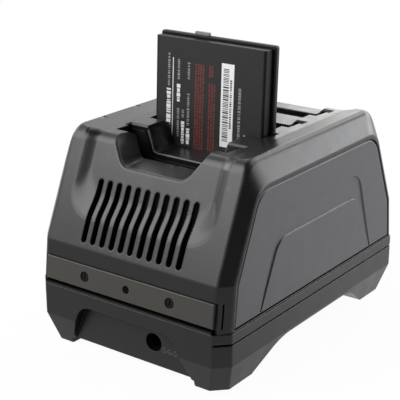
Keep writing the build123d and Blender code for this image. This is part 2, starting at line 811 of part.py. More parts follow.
with BuildPart() as base_tray:
    add(base_shell.part)
    with BuildSketch(Plane.XY.offset(arch_top + tray_wall)) as tray_space:
        Rectangle(case_width - 2 * tray_wall, 2 * (tub_end - tray_wall))
    extrude(tray_space.sketch, amount=parting_height - arch_top, mode=Mode.SUBTRACT)
    rim_space = base_outline(Plane.XY.offset(recess_top + tray_wall), tray_wall)
    extrude(rim_space, amount=parting_height - recess_top, mode=Mode.SUBTRACT)
    with BuildSketch(Plane.XY.offset(tub_floor)) as tub_space:
        Rectangle(tub_width - 2 * tray_wall, 2 * (tub_end - tray_wall))
    extrude(tub_space.sketch, amount=parting_height - tub_floor, mode=Mode.SUBTRACT)
    with BuildSketch(Plane.XY) as under_tub:
        Rectangle(tub_width, case_depth)
    extrude(under_tub.sketch, amount=tub_bottom, mode=Mode.SUBTRACT)
    for side in (1, -1):
        with BuildSketch(Plane.YZ.offset(side * tub_width / 2)) as arch:
            with BuildLine():
                Polyline(
                    (-arch_foot_length / 2, 0),
                    (-arch_top_length / 2, arch_top),
                    (arch_top_length / 2, arch_top),
                    (arch_foot_length / 2, 0),
                    close=True,
                )
            make_face()
            fillet(arch.vertices().group_by(Axis.Y)[-1], arch_round)
        extrude(arch.sketch, amount=side * case_width, mode=Mode.SUBTRACT)
        with BuildSketch(Plane.XZ.offset(side * half_depth)) as recess:
            with BuildLine():
                Polyline(
                    (-recess_foot_width / 2, 0),
                    (-recess_top_width / 2, recess_top),
                    (recess_top_width / 2, recess_top),
                    (recess_foot_width / 2, 0),
                    close=True,
                )
            make_face()
            fillet(recess.vertices().group_by(Axis.Y)[-1], recess_round)
        extrude(recess.sketch, amount=-side * recess_depth, mode=Mode.SUBTRACT)
    groove_ring = base_outline(Plane.XY.offset(groove_height - groove_width / 2), -cut_over)
    groove_core = base_outline(Plane.XY.offset(groove_height - groove_width / 2), groove_depth)
    with BuildSketch(Plane.XY.offset(groove_height - groove_width / 2)) as groove_break:
        Rectangle(case_width - 2 * corner_chamfer, case_depth + 2 * cut_over)
    side_grooves = groove_ring - groove_core - groove_break.sketch
    extrude(side_grooves, amount=groove_width, mode=Mode.SUBTRACT)
    add(leg_columns.part)
    with BuildSketch(Plane.XY) as head_holes:
        with GridLocations(2 * leg_x, 2 * screw_y, 2, 2):
            Circle(screw_head_diameter / 2 + screw_clearance)
    extrude(head_holes.sketch, amount=screw_seat_height, mode=Mode.SUBTRACT)
    with BuildSketch(Plane.XY) as shank_holes:
        with GridLocations(2 * leg_x, 2 * screw_y, 2, 2):
            Circle(screw_shank_diameter / 2 + screw_clearance)
    extrude(shank_holes.sketch, amount=parting_height, mode=Mode.SUBTRACT)
    with BuildSketch(Plane.XY) as pad_seats:
        with GridLocations(2 * leg_x, 2 * foot_pad_y, 2, 2):
            Circle(foot_pad_diameter / 2)
    extrude(pad_seats.sketch, amount=foot_pad_height + foot_pad_seat, mode=Mode.SUBTRACT)
    with BuildSketch(Plane.XZ.offset(half_depth)) as jack_hole:
        with Locations((jack_x, jack_height)):
            Circle(jack_opening / 2)
    extrude(jack_hole.sketch, amount=-(recess_depth + tray_wall), mode=Mode.SUBTRACT)
    with BuildSketch(Plane.XY.offset(tub_floor + power_board_gap)) as standoff_holes:
        with GridLocations(2 * standoff_x, 2 * standoff_y, 2, 2):
            Circle(board_screw_diameter / 2)
    extrude(standoff_holes.sketch, amount=-power_board_gap, mode=Mode.SUBTRACT)
base_tray.part.label = "base_tray"
export_step(base_tray.part, "parts/base_tray.step")

with BuildPart() as rubber_feet:
    with BuildSketch(Plane.XY):
        with GridLocations(2 * leg_x, 2 * foot_pad_y, 2, 2):
            Circle(foot_pad_diameter / 2)
    extrude(amount=foot_pad_height + foot_pad_seat)
rubber_feet.part.label = "rubber_feet"
export_step(rubber_feet.part, "parts/rubber_feet.step")

with BuildPart() as casing_screws:
    with BuildSketch(Plane.XY.offset(screw_seat_height)) as screw_heads:
        with GridLocations(2 * leg_x, 2 * screw_y, 2, 2):
            Circle(screw_head_diameter / 2)
    extrude(screw_heads.sketch, amount=-screw_head_height)
    with BuildSketch(Plane.XY.offset(screw_seat_height)) as screw_shanks:
        with GridLocations(2 * leg_x, 2 * screw_y, 2, 2):
            Circle(screw_shank_diameter / 2)
    extrude(screw_shanks.sketch, amount=screw_length)
    with BuildSketch(Plane.XY.offset(screw_seat_height - screw_head_height)) as cross_slots:
        with GridLocations(2 * leg_x, 2 * screw_y, 2, 2):
            Rectangle(driver_slot, screw_head_diameter * driver_share)
            Rectangle(screw_head_diameter * driver_share, driver_slot)
    extrude(cross_slots.sketch, amount=driver_depth, mode=Mode.SUBTRACT)
casing_screws.part.label = "casing_screws"
export_step(casing_screws.part, "parts/casing_screws.step")

# Bays: a well under the deck, a contact block under the well and a row of sprung pins
for bay in range(bay_count):
    number = bay + 1
    with BuildPart() as bay_well:
        with BuildSketch(bay_plane(bay, well_foot)):
            Rectangle(cover_slot_width + 2 * well_wall, slot_depth + 2 * well_wall)
        extrude(amount=-well_foot)
        extrude(slot_outline(bay_plane(bay, bay_floor)), amount=-bay_floor, mode=Mode.SUBTRACT)
        with BuildSketch(Plane.XY.offset(deck_under)):
            Rectangle(case_width, case_depth)
        extrude(amount=deck_thickness + well_wall, mode=Mode.SUBTRACT)
        add(trough_outside, mode=Mode.SUBTRACT)
        with BuildSketch(bay_plane(bay, well_foot)):
            with Locations(*pin_row):
                Circle(pin_diameter / 2 + block_clearance)
        extrude(amount=well_floor, mode=Mode.SUBTRACT)
    bay_well.part.label = f"bay_well_{number}"
    export_step(bay_well.part, f"parts/bay_well_{number}.step")

    with BuildPart() as contact_block:
        with BuildSketch(bay_plane(bay, well_foot)):
            with Locations((0, contact_row)):
                Rectangle(contact_block_width, contact_block_depth)
        extrude(amount=-(contact_block_height + cut_over))
        with BuildSketch(Plane.XY.offset(contact_board_top)):
            Rectangle(case_width, case_depth)
        extrude(amount=-contact_block_height, mode=Mode.SUBTRACT)
        with BuildSketch(bay_plane(bay, well_foot)):
            with Locations(*pin_row):
                Circle(pin_diameter / 2 + pin_bore_clearance)
        extrude(amount=-block_roof, mode=Mode.SUBTRACT)
        with BuildSketch(bay_plane(bay, well_foot - block_roof)):
            with Locations(*pin_row):
                Circle(pin_collar_diameter / 2 + pin_bore_clearance)
        extrude(amount=-(pin_collar_height + pin_stroke + pin_press + block_clearance), mode=Mode.SUBTRACT)
    contact_block.part.label = f"contact_block_{number}"
    export_step(contact_block.part, f"parts/contact_block_{number}.step")

    pressed = pin_stroke if bay == filled_bay else 0
    collar_top = well_foot - block_roof - pressed
    with BuildPart() as contact_pins:
        with BuildSketch(bay_plane(bay, collar_top)) as collars:
            with Locations(*pin_row):
                Circle(pin_collar_diameter / 2)
        extrude(collars.sketch, amount=-pin_collar_height)
        with BuildSketch(bay_plane(bay, collar_top)) as shafts:
            with Locations(*pin_row):
                Circle(pin_diameter / 2)
        extrude(shafts.sketch, amount=battery_foot + pin_stroke - pressed - collar_top)
        fillet(contact_pins.faces().group_by(Axis.Z)[-1].edges(), pin_diameter * pin_tip_share)
    contact_pins.part.label = f"contact_pins_{number}"
    export_step(contact_pins.part, f"parts/contact_pins_{number}.step")

# Contact board, hung from the casing posts by four screws
with BuildPart() as contact_board:
    with BuildSketch(Plane.XY.offset(contact_board_top)) as contact_sheet:
        with Locations((0, board_middle_y)):
            Rectangle(contact_board_width, contact_board_depth)
        with Locations(board_post_places):
            Circle(board_screw_diameter / 2 + screw_clearance, mode=Mode.SUBTRACT)
    extrude(contact_sheet.sketch, amount=-board_thickness)
contact_board.part.label = "contact_board"
export_step(contact_board.part, "parts/contact_board.step")

with BuildPart() as contact_board_screws:
    with BuildSketch(Plane.XY.offset(contact_board_top - board_thickness)) as board_heads:
        with Locations(board_post_places):
            Circle(board_screw_head / 2)
    extrude(board_heads.sketch, amount=-board_screw_head_height)
    with BuildSketch(Plane.XY.offset(contact_board_top - board_thickness)) as board_shanks:
        with Locations(board_post_places):
            Circle(board_screw_diameter / 2)
    extrude(board_shanks.sketch, amount=board_screw_length)
contact_board_screws.part.label = "contact_board_screws"
export_step(contact_board_screws.part, "parts/contact_board_screws.step")

with BuildPart() as charger_chips:
    with BuildSketch(Plane.XY.offset(contact_board_top)):
        with Locations([(chip_x, first_bay_y + bay * bay_pitch) for bay in range(bay_count)]):
            Rectangle(chip_size, chip_size)
    extrude(amount=chip_height)
charger_chips.part.label = "charger_chips"
export_step(charger_chips.part, "parts/charger_chips.step")

# Power board on its standoffs in the tub, with what stands on it
with BuildPart() as power_board:
    with BuildSketch(Plane.XY.offset(power_board_top)) as power_sheet:
        Rectangle(power_board_width, power_board_depth)
        with GridLocations(2 * standoff_x, 2 * standoff_y, 2, 2):
            Circle(board_screw_diameter / 2 + screw_clearance, mode=Mode.SUBTRACT)
    extrude(power_sheet.sketch, amount=-board_thickness)
power_board.part.label = "power_board"
export_step(power_board.part, "parts/power_board.step")

with BuildPart() as power_board_screws:
    with BuildSketch(Plane.XY.offset(power_board_top)) as tub_heads:
        with GridLocations(2 * standoff_x, 2 * standoff_y, 2, 2):
            Circle(board_screw_head / 2)
    extrude(tub_heads.sketch, amount=board_screw_head_height)
    with BuildSketch(Plane.XY.offset(power_board_top)) as tub_shanks:
        with GridLocations(2 * standoff_x, 2 * standoff_y, 2, 2):
            Circle(board_screw_diameter / 2)
    extrude(tub_shanks.sketch, amount=-(board_thickness + power_board_gap))
power_board_screws.part.label = "power_board_screws"
export_step(power_board_screws.part, "parts/power_board_screws.step")

jack_front = -(tub_end - tray_wall)
with BuildPart() as dc_jack:
    with BuildSketch(Plane.XY.offset(power_board_top)):
        with Locations((jack_x, jack_front)):
            Rectangle(jack_width, jack_length, align=(Align.CENTER, Align.MIN))
    extrude(amount=jack_body_height)
    with BuildSketch(Plane.XZ.offset(-jack_front)):
        with Locations((jack_x, jack_height)):
            Circle(jack_bore / 2)
    extrude(amount=-jack_bore_depth, mode=Mode.SUBTRACT)
dc_jack.part.label = "dc_jack"
export_step(dc_jack.part, "parts/dc_jack.step")

with BuildPart() as dc_jack_pin:
    with BuildSketch(Plane.XZ.offset(-jack_front - jack_bore_depth)):
        with Locations((jack_x, jack_height)):
            Circle(jack_pin_diameter / 2)
    extrude(amount=jack_pin_length)
dc_jack_pin.part.label = "dc_jack_pin"
export_step(dc_jack_pin.part, "parts/dc_jack_pin.step")

with BuildPart() as power_coils:
    with BuildSketch(Plane.XY.offset(power_board_top)):
        with Locations((coil_x, -coil_y), (coil_x, coil_y)):
            RectangleRounded(coil_size, coil_size, coil_round)
    extrude(amount=coil_height)
power_coils.part.label = "power_coils"
export_step(power_coils.part, "parts/power_coils.step")

with BuildPart() as filter_capacitors:
    with BuildSketch(Plane.XY.offset(power_board_top)):
        with Locations((capacitor_x, capacitor_y)):
            with GridLocations(capacitor_pitch, capacitor_pitch, 1, capacitor_count):
                Circle(capacitor_diameter / 2)
    extrude(amount=capacitor_height)
filter_capacitors.part.label = "filter_capacitors"
export_step(filter_capacitors.part, "parts/filter_capacitors.step")

# Flat cable between the boards, with a connector at each end
contact_board_under = contact_board_top - board_thickness
with BuildPart() as board_connectors:
    for plane, rise in (
        (Plane.XY.offset(power_board_top), connector_height),
        (Plane.XY.offset(contact_board_under), -connector_height),
    ):
        with BuildSketch(plane) as connector:
            with Locations((cable_x, cable_y)):
                Rectangle(connector_width, connector_depth)
        extrude(connector.sketch, amount=rise)
board_connectors.part.label = "board_connectors"
export_step(board_connectors.part, "parts/board_connectors.step")

with BuildPart() as board_cable:
    with BuildSketch(Plane.XY.offset(power_board_top + connector_height)):
        with Locations((cable_x, cable_y)):
            Rectangle(cable_width, cable_thickness)
    extrude(amount=contact_board_under - power_board_top - 2 * connector_height)
board_cable.part.label = "board_cable"
export_step(board_cable.part, "parts/board_cable.step")

# Status lights: a lamp strip under the left rail and a light pipe for each bay
with BuildPart() as led_board:
    with BuildSketch(Plane.XY.offset(led_board_top)):
        with Locations((status_lens_x, board_middle_y)):
            Rectangle(led_board_width, led_board_length)
    extrude(amount=-led_board_thickness)
led_board.part.label = "led_board"
export_step(led_board.part, "parts/led_board.step")

with BuildPart() as status_leds:
    with BuildSketch(Plane.XY.offset(led_board_top)):
        with Locations(status_places):
            Rectangle(status_led_size, status_led_size)
    extrude(amount=status_led_height)
status_leds.part.label = "status_leds"
export_step(status_leds.part, "parts/status_leds.step")

for bay in range(bay_count):
    number = bay + 1
    with BuildPart() as status_lens:
        with BuildSketch(Plane.XY.offset(led_board_top + status_led_height)):
            with Locations(status_places[bay]):
                Rectangle(status_lens_size, status_lens_size)
        extrude(amount=status_lens_foot)
    status_lens.part.label = f"status_lens_{number}"
    export_step(status_lens.part, f"parts/status_lens_{number}.step")

# Battery: the pack in front, its wider cover behind, a label and contact pads
pack_top = battery_proud - cover_rise
pack_front = -battery_thickness / 2
with BuildPart() as battery_label:
    with BuildSketch(bay_plane(filled_bay, pack_top - label_top_margin)):
        with Locations((0, pack_front)):
            Rectangle(pack_width - 2 * label_margin, label_thickness, align=(Align.CENTER, Align.MIN))
    extrude(amount=-label_length)
battery_label.part.label = "battery_label"
export_step(battery_label.part, "parts/battery_label.step")

with BuildPart() as battery_contacts:
    with BuildSketch(bay_plane(filled_bay, battery_foot)):
        with Locations(*pin_row):
            Rectangle(pad_width, pad_depth)
    extrude(amount=pad_thickness)
battery_contacts.part.label = "battery_contacts"
export_step(battery_contacts.part, "parts/battery_contacts.step")

with BuildPart() as battery_pack:
    with BuildSketch(bay_plane(filled_bay, battery_foot)):
        with Locations((0, contact_row)):
            Rectangle(pack_width, pack_thickness)
    extrude(amount=pack_top - battery_foot)
    front_edges = battery_pack.faces().sort_by(Axis.Y)[0].edges()
    fillet(front_edges.group_by(Axis.X)[0] + front_edges.group_by(Axis.X)[-1], pack_side_round)
    add(battery_label.part, mode=Mode.SUBTRACT)
    add(battery_contacts.part, mode=Mode.SUBTRACT)
battery_pack.part.label = "battery_pack"
export_step(battery_pack.part, "parts/battery_pack.step")

with BuildPart() as battery_cover:
    with BuildSketch(bay_plane(filled_bay, battery_foot)):
        with Locations((0, cover_front)):
            Rectangle(cover_width, cover_thickness, align=(Align.CENTER, Align.MIN))
    extrude(amount=battery_length)
    cover_sides = battery_cover.faces().group_by(Axis.X)
    cover_corners = (cover_sides[0] + cover_sides[-1]).edges().filter_by(Plane.YZ)
    cover_ends = cover_corners.group_by(Axis.Z)
    fillet(cover_ends[0] + cover_ends[-1], cover_corner_round)
    fillet(battery_cover.faces().sort_by(Axis.Y)[-1].edges(), battery_edge_round)
battery_cover.part.label = "battery_cover"
export_step(battery_cover.part, "parts/battery_cover.step")

with BuildPart() as battery_tab:
    with BuildSketch(bay_plane(filled_bay, battery_proud)):
        with Locations((cover_tab_offset, cover_front)):
            Rectangle(cover_tab_width, cover_tab_thickness, align=(Align.CENTER, Align.MIN))
    extrude(amount=cover_tab_height)
    fillet(battery_tab.faces().sort_by(Axis.Z)[-1].edges().filter_by(Axis.X, reverse=True), cover_tab_round)
battery_tab.part.label = "battery_tab"
export_step(battery_tab.part, "parts/battery_tab.step")
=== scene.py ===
import json
import math

import bpy
import numpy as np
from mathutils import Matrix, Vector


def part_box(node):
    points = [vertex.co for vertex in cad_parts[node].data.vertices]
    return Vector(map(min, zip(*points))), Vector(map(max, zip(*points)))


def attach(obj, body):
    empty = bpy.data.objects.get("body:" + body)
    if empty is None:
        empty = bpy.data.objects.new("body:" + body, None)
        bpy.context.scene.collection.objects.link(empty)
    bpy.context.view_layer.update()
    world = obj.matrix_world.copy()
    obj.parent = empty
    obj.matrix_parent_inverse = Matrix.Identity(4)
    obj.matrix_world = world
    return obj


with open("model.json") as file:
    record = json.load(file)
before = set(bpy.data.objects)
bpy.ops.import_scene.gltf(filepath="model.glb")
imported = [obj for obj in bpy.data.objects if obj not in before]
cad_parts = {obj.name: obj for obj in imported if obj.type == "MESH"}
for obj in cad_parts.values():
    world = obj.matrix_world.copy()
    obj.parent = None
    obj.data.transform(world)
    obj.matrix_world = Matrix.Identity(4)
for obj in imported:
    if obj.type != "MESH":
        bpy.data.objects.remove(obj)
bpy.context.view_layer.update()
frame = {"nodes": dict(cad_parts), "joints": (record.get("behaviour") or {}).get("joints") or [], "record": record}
nodes = frame["nodes"]
mm = 0.001

# Camera at the photograph's view: degrees and millimetres
view_azimuth = 36.357
view_elevation = 19.582
camera_place = (282.46, -403.01, 229.42)
camera_lens = 104.43
camera_sensor = 36.0

# Battery label, in millimetres; it leans as the battery's slide does
slide_axis = frame["joints"][0]["axis"]
battery_lean = math.atan2(slide_axis[1], slide_axis[2])
film_thickness = 0.15
label_top_margin = 1.6
print_height = 0.03
print_sink = 0.01
random_seed = 11

# Printed columns: middle across, width, start and end down from the pack's top edge, longest dash
white_columns = (
    (-21.2, 2.3, 22.5, 42.2, 2.0),
    (-15.9, 1.9, 20.0, 27.8, 1.9),
    (-13.3, 1.8, 36.2, 47.5, 1.7),
    (-10.5, 1.9, 39.0, 47.2, 1.8),
)
grey_columns = (
    (-21.2, 1.2, 7.0, 21.5, 0.9),
    (-15.9, 1.3, 9.1, 18.0, 0.9),
    (-15.9, 1.2, 30.7, 44.0, 0.9),
    (-13.3, 1.2, 31.0, 35.6, 0.9),
    (-10.5, 1.3, 9.9, 17.3, 0.9),
    (-10.5, 1.3, 23.5, 38.0, 0.9),
    (16.2, 1.4, 17.4, 41.0, 1.0),
)
sticker_column = (11.7, 0.95, 14.5, 36.0, 0.8)

# Red blocks: middles of their columns, start and end down; all red columns share a width and a longest dash
red_blocks = (
    ((-6.7, -5.4, -4.1, -2.8), 9.9, 49.5),
    ((0.6, 1.9), 9.9, 15.5),
    ((0.6, 1.9, 3.2), 17.5, 49.5),
)
red_width = 0.9
red_dash = 1.3

# Plain printed areas: low and high across, low and high down
white_rule = (-19.2, -18.8, 8.7, 46.0)
grey_dots = ((18.7, 19.6, 36.9, 37.9), (18.7, 19.6, 38.2, 39.3))
sticker_area = (6.65, 13.1, 7.8, 43.9)

# Stripes of the sticker: the area that they fill, and the widths and gaps to draw from
stripe_area = (7.7, 10.6, 10.0, 41.5)
stripe_count = 70
stripe_widths = (0.35, 0.35, 0.7)
stripe_gaps = (0.3, 0.35, 0.55)

# Bars in the joint under the front strip: inset from the strip's ends, inset from the base's front, depth and
# height over the base's top in millimetres, then finish and slot
joint_bars = {
    "base_rim": (0.6, 0.05, 1.4, 0.95, "rim_plastic", "base_plastic"),
    # The near-black bar paints the shadow in the gap under the strip
    "joint_seal": (0.1, 0.3, 1.45, 1.6, "seal_rubber", "rubber"),
}
joint_sink = 0.1

# Soft lamps: azimuth and elevation in degrees, distance, width and height in millimetres, radiance, colour
lamp_cool = (0.97, 0.98, 1.0)
lamp_warm = (1.0, 0.99, 0.97)
lamp_plain = (1, 1, 1)
soft_panels = {
    "front_left_panel": (-35, 39, 1000, 800, 780, 4.2, lamp_cool),
    "back_right_panel": (142, 8.5, 1100, 1200, 250, 4.8, lamp_cool),
    "back_left_panel": (-174, 21, 1100, 1000, 520, 2.4, lamp_warm),
    "high_left_panel": (-135, 43, 1000, 500, 340, 1.9, lamp_plain),
    "top_panel": (150, 45, 1050, 900, 680, 1.7, lamp_plain),
    "left_panel": (-88, 22, 1000, 560, 480, 2.6, lamp_plain),
}
aim_height = 60.0

# Dark walls: azimuth and half of their angle in degrees, low and high edge and distance in millimetres
dark_walls = {
    "dark_side": (67, 49, 6, 1900, 900),
    "dark_top": (-30, 70, 1850, 2600, 1000),
}
ceiling_height = 2600
ceiling_corners = ((-1000, -1000), (1100, -1000), (1100, 500), (-1000, 500))
dark_colour = (0.09, 0.09, 0.09, 1)

# Floor and surroundings: the mirrored floor's level rises from a front place to a back one, in millimetres; the
# lower front level is painted shade in the floor's reflections
floor_reach = 4000.0
floor_colour = (0.86, 0.86, 0.86, 1)
floor_white_share = 0.96
shaded_front_level, back_level = 0.56, 1.0
front_place, back_place = -100, 60
plain_white = (1, 1, 1, 1)
world_strength = 0.45


# Meshes


def box_corners(node):
    """Low and high corner of a CAD node's box, in millimetres."""
    low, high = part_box(node)
    return np.array(low) / mm, np.array(high) / mm


def new_object(name, points, faces, material):
    """Mesh object at the origin from points in millimetres and faces of point numbers."""
    mesh = bpy.data.meshes.new(name)
    mesh.from_pydata((points.reshape(-1, 3) * mm).tolist(), [], faces.tolist())
    mesh.update()
    mesh.materials.append(material)
    item = bpy.data.objects.new(name, mesh)
    bpy.context.scene.collection.objects.link(item)
    return item


def new_piece(name, points, faces, material, body):
    """Piece of the charger or the battery: a mesh object that rides on a body and has a material slot."""
    piece = new_object(name, points, faces, material)
    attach(piece, body)


def bar_boxes(low, high):
    """Closed boxes between arrays of low and high corners: each corner picks low or high by the bits of its
    number."""
    bits = (np.arange(8)[:, None] >> np.arange(3)) & 1
    points = np.where(bits[None], high[:, None, :], low[:, None, :])
    sides = np.array([[0, 2, 3, 1], [4, 5, 7, 6], [0, 1, 5, 4], [2, 6, 7, 3], [0, 4, 6, 2], [1, 3, 7, 5]])
    faces = (8 * np.arange(len(low)))[:, None, None] + sides[None]
    return points, faces.reshape(-1, 4)


def round_bead(path, normals, radius, closed):
    """Round bead along a path: each ring of eight is the path point plus the radius times cos and sin of the
    turn, along the normal and along the path's direction crossed with it; open ends get flat lids."""
    sides, count = 8, len(path)
    ahead = np.roll(path, -1, 0) - np.roll(path, 1, 0)
    if not closed:
        ahead[[0, -1]] = path[[1, -1]] - path[[0, -2]]
    ahead /= np.linalg.norm(ahead, axis=1, keepdims=True)
    across = np.cross(ahead, normals)
    turn = 2 * math.pi * np.arange(sides) / sides
    ring = np.cos(turn)[None, :, None] * normals[:, None] + np.sin(turn)[None, :, None] * across[:, None]
    points = (path[:, None] + radius * ring).reshape(-1, 3)
    row, column = np.arange(count if closed else count - 1)[:, None], np.arange(sides)[None]
    after, beside = (row + 1) % count, (column + 1) % sides
    corners = [row * sides + column, row * sides + beside, after * sides + beside, after * sides + column]
    faces = np.stack(np.broadcast_arrays(*corners), -1).reshape(-1, 4)
    if closed:
        return points, faces
    lid = np.array([[0, 1, 2, 3], [0, 3, 4, 7], [4, 5, 6, 7]])
    return points, np.vstack([faces, lid[:, ::-1], lid + (count - 1) * sides])


def join_meshes(parts):
    """Points and four-sided faces of several meshes as one, with the point numbers moved on."""
    firsts = np.cumsum([0] + [len(points) for points, faces in parts[:-1]])
    faces = np.vstack([first + faces for first, (points, faces) in zip(firsts, parts)])
    return np.vstack([points for points, faces in parts]), faces


# Materials


def add_node(tree, kind, inputs=None, **settings):
    """Node with its settings and the values of its inputs; an input that is a socket is joined."""
    node = tree.nodes.new(kind)
    for key, value in settings.items():
        setattr(node, key, value)
    for key, value in (inputs or {}).items():
        if isinstance(value, bpy.types.NodeSocket):
            tree.links.new(value, node.inputs[key])
        else:
            node.inputs[key].default_value = value
    return node


def new_material(name):
    """Empty node material and its tree."""
    material = bpy.data.materials.new(name)
    material.use_nodes = True
    material.node_tree.nodes.clear()
    return material, material.node_tree


def close_material(tree, kind, inputs):
    """Shader with the values of its inputs, joined to the material's surface."""
    shader = add_node(tree, kind, inputs)
    add_node(tree, "ShaderNodeOutputMaterial", {"Surface": shader.outputs[0]})


def noise(tree, size, detail=2.0, roughness=0.5):
    """Noise over Object coordinates with features of a size in millimetres."""
    coords = add_node(tree, "ShaderNodeTexCoord")
    scale = 1 / (size * mm)
    inputs = {"Vector": coords.outputs["Object"], "Scale": scale, "Detail": detail, "Roughness": roughness}
    return add_node(tree, "ShaderNodeTexNoise", inputs).outputs["Fac"]


def spread(tree, value, low, high, start=0.3, end=0.7):
    """A value from start to end, spread from low to high; the defaults suit a noise."""
    inputs = {"Value": value, "From Min": start, "From Max": end, "To Min": low, "To Max": high}
    return add_node(tree, "ShaderNodeMapRange", inputs).outputs["Result"]


def spread_about(tree, value, middle, play):
    """A noise spread to either side of a middle."""
    return spread(tree, value, middle - play, middle + play)


def blend_colour(tree, share, first, second):
    """Colour between two, each a triple or a socket, by the mix node's own colour sockets."""
    first_socket, second_socket, result_socket = 6, 7, 2
    node = add_node(tree, "ShaderNodeMix", {"Factor": share}, data_type="RGBA")
    for socket, colour in ((node.inputs[first_socket], first), (node.inputs[second_socket], second)):
        if isinstance(colour, bpy.types.NodeSocket):
            tree.links.new(colour, socket)
        else:
            socket.default_value = (*colour, 1)
    return node.outputs[result_socket]


def clouded(tree, value, colour, dark_share, pale_share):
    """Colour that a noise takes from a dark to a pale share of it."""
    dark = [dark_share * channel for channel in colour]
    pale = [pale_share * channel for channel in colour]
    return blend_colour(tree, value, dark, pale)


def dented(tree, height, strength, depth, normal=None):
    """Normal that a noise bends, as dents of a depth in millimetres would."""
    inputs = {"Height": height, "Strength": strength, "Distance": depth * mm}
    if normal is not None:
        inputs["Normal"] = normal
    return add_node(tree, "ShaderNodeBump", inputs).outputs["Normal"]


def moulded_plastic(
    name, colour, roughness, grain=0.3, edge=0.5, wear=0.35, specular=0.5, dull=0.1, reach=None
):
    """Spark-eroded plastic: fine grain, faint flow clouds, soft edges that are rubbed a little paler, and painted
    shade in joints and grooves, or with a reach in millimetres in the piece's own hollows, where the reflection is
    dimmed."""
    cloud_size, patch_size, detail = 26, 7, 3
    dark_share, pale_share, worn_share, worn_lift = 0.9, 1.1, 1.5, 0.004
    grain_strength, grain_depth, gloss_play = 0.35, 0.012, 0.035
    sharp_turn, flat_turn, edge_samples = 0.8, 0.995, 6
    joint_reach, closed_share, open_share, hollow_samples = 1.6, 0.35, 0.85, 8
    material, tree = new_material(name)
    rounded = add_node(tree, "ShaderNodeBevel", {"Radius": edge * mm}, samples=edge_samples).outputs["Normal"]
    flat = add_node(tree, "ShaderNodeNewGeometry").outputs["Normal"]
    turn = add_node(tree, "ShaderNodeVectorMath", {0: rounded, 1: flat}, operation="DOT_PRODUCT")
    rubbed = spread(tree, turn.outputs["Value"], wear, 0, sharp_turn, flat_turn)
    body = clouded(tree, noise(tree, cloud_size, detail), colour, dark_share, pale_share)
    worn = [worn_share * channel + worn_lift for channel in colour]
    # Painted shade: ambient occlusion over the reach dims the reflection in joints, grooves and hollows
    inputs = {"Distance": (reach or joint_reach) * mm}
    settings = {"samples": hollow_samples, "only_local": reach is not None}
    hollow_shade = add_node(tree, "ShaderNodeAmbientOcclusion", inputs, **settings).outputs["AO"]
    inputs = {
        "Base Color": blend_colour(tree, rubbed, body, worn),
        "Roughness": spread_about(tree, noise(tree, patch_size, detail), roughness, gloss_play),
        "Specular IOR Level": spread(tree, hollow_shade, dull * specular, specular, closed_share, open_share),
        "Normal": dented(tree, noise(tree, grain), grain_strength, grain_depth, rounded),
    }
    close_material(tree, "ShaderNodeBsdfPrincipled", inputs)
    return material


def satin_film(name, colour, roughness, specular=0.5, cloud=0.12):
    """Printed film or ink: an even satin surface with faint clouding."""
    cloud_size, cloud_detail, patch_size, gloss_play = 4, 3, 3, 0.04
    grain, grain_strength, grain_depth = 0.5, 0.12, 0.01
    material, tree = new_material(name)
    clouds = noise(tree, cloud_size, cloud_detail)
    inputs = {
        "Base Color": clouded(tree, clouds, colour, 1 - cloud, 1 + cloud),
        "Roughness": spread_about(tree, noise(tree, patch_size), roughness, gloss_play),
        "Specular IOR Level": specular,
        "Normal": dented(tree, noise(tree, grain), grain_strength, grain_depth),
    }
    close_material(tree, "ShaderNodeBsdfPrincipled", inputs)
    return material


def plated_metal(name, colour, roughness):
    """Plated or blackened metal with fine tumbling marks."""
    mark_size, mark_detail, mark_roughness = 1.2, 4, 0.7
    dark_share, pale_share, mark_strength, mark_depth = 0.8, 1.1, 0.15, 0.01
    patch_size, patch_detail, gloss_play = 0.4, 3, 0.08
    material, tree = new_material(name)
    marks = noise(tree, mark_size, mark_detail, mark_roughness)
    inputs = {
        "Base Color": clouded(tree, marks, colour, dark_share, pale_share),
        "Roughness": spread_about(tree, noise(tree, patch_size, patch_detail), roughness, gloss_play),
        "Metallic": 1.0,
        "Normal": dented(tree, marks, mark_strength, mark_depth),
    }
    close_material(tree, "ShaderNodeBsdfPrincipled", inputs)
    return material


def clear_plastic(name, colour, roughness, transmission):
    """Tinted clear plastic with a faint moulded ripple."""
    ripple_size, ripple_strength, ripple_depth = 1.5, 0.1, 0.05
    dark_share, pale_share, refraction = 0.85, 1.1, 1.5
    material, tree = new_material(name)
    ripple = noise(tree, ripple_size)
    inputs = {
        "Base Color": clouded(tree, ripple, colour, dark_share, pale_share),
        "Roughness": roughness,
        "Transmission Weight": transmission,
        "IOR": refraction,
        "Normal": dented(tree, ripple, ripple_strength, ripple_depth),
    }
    close_material(tree, "ShaderNodeBsdfPrincipled", inputs)
    return material
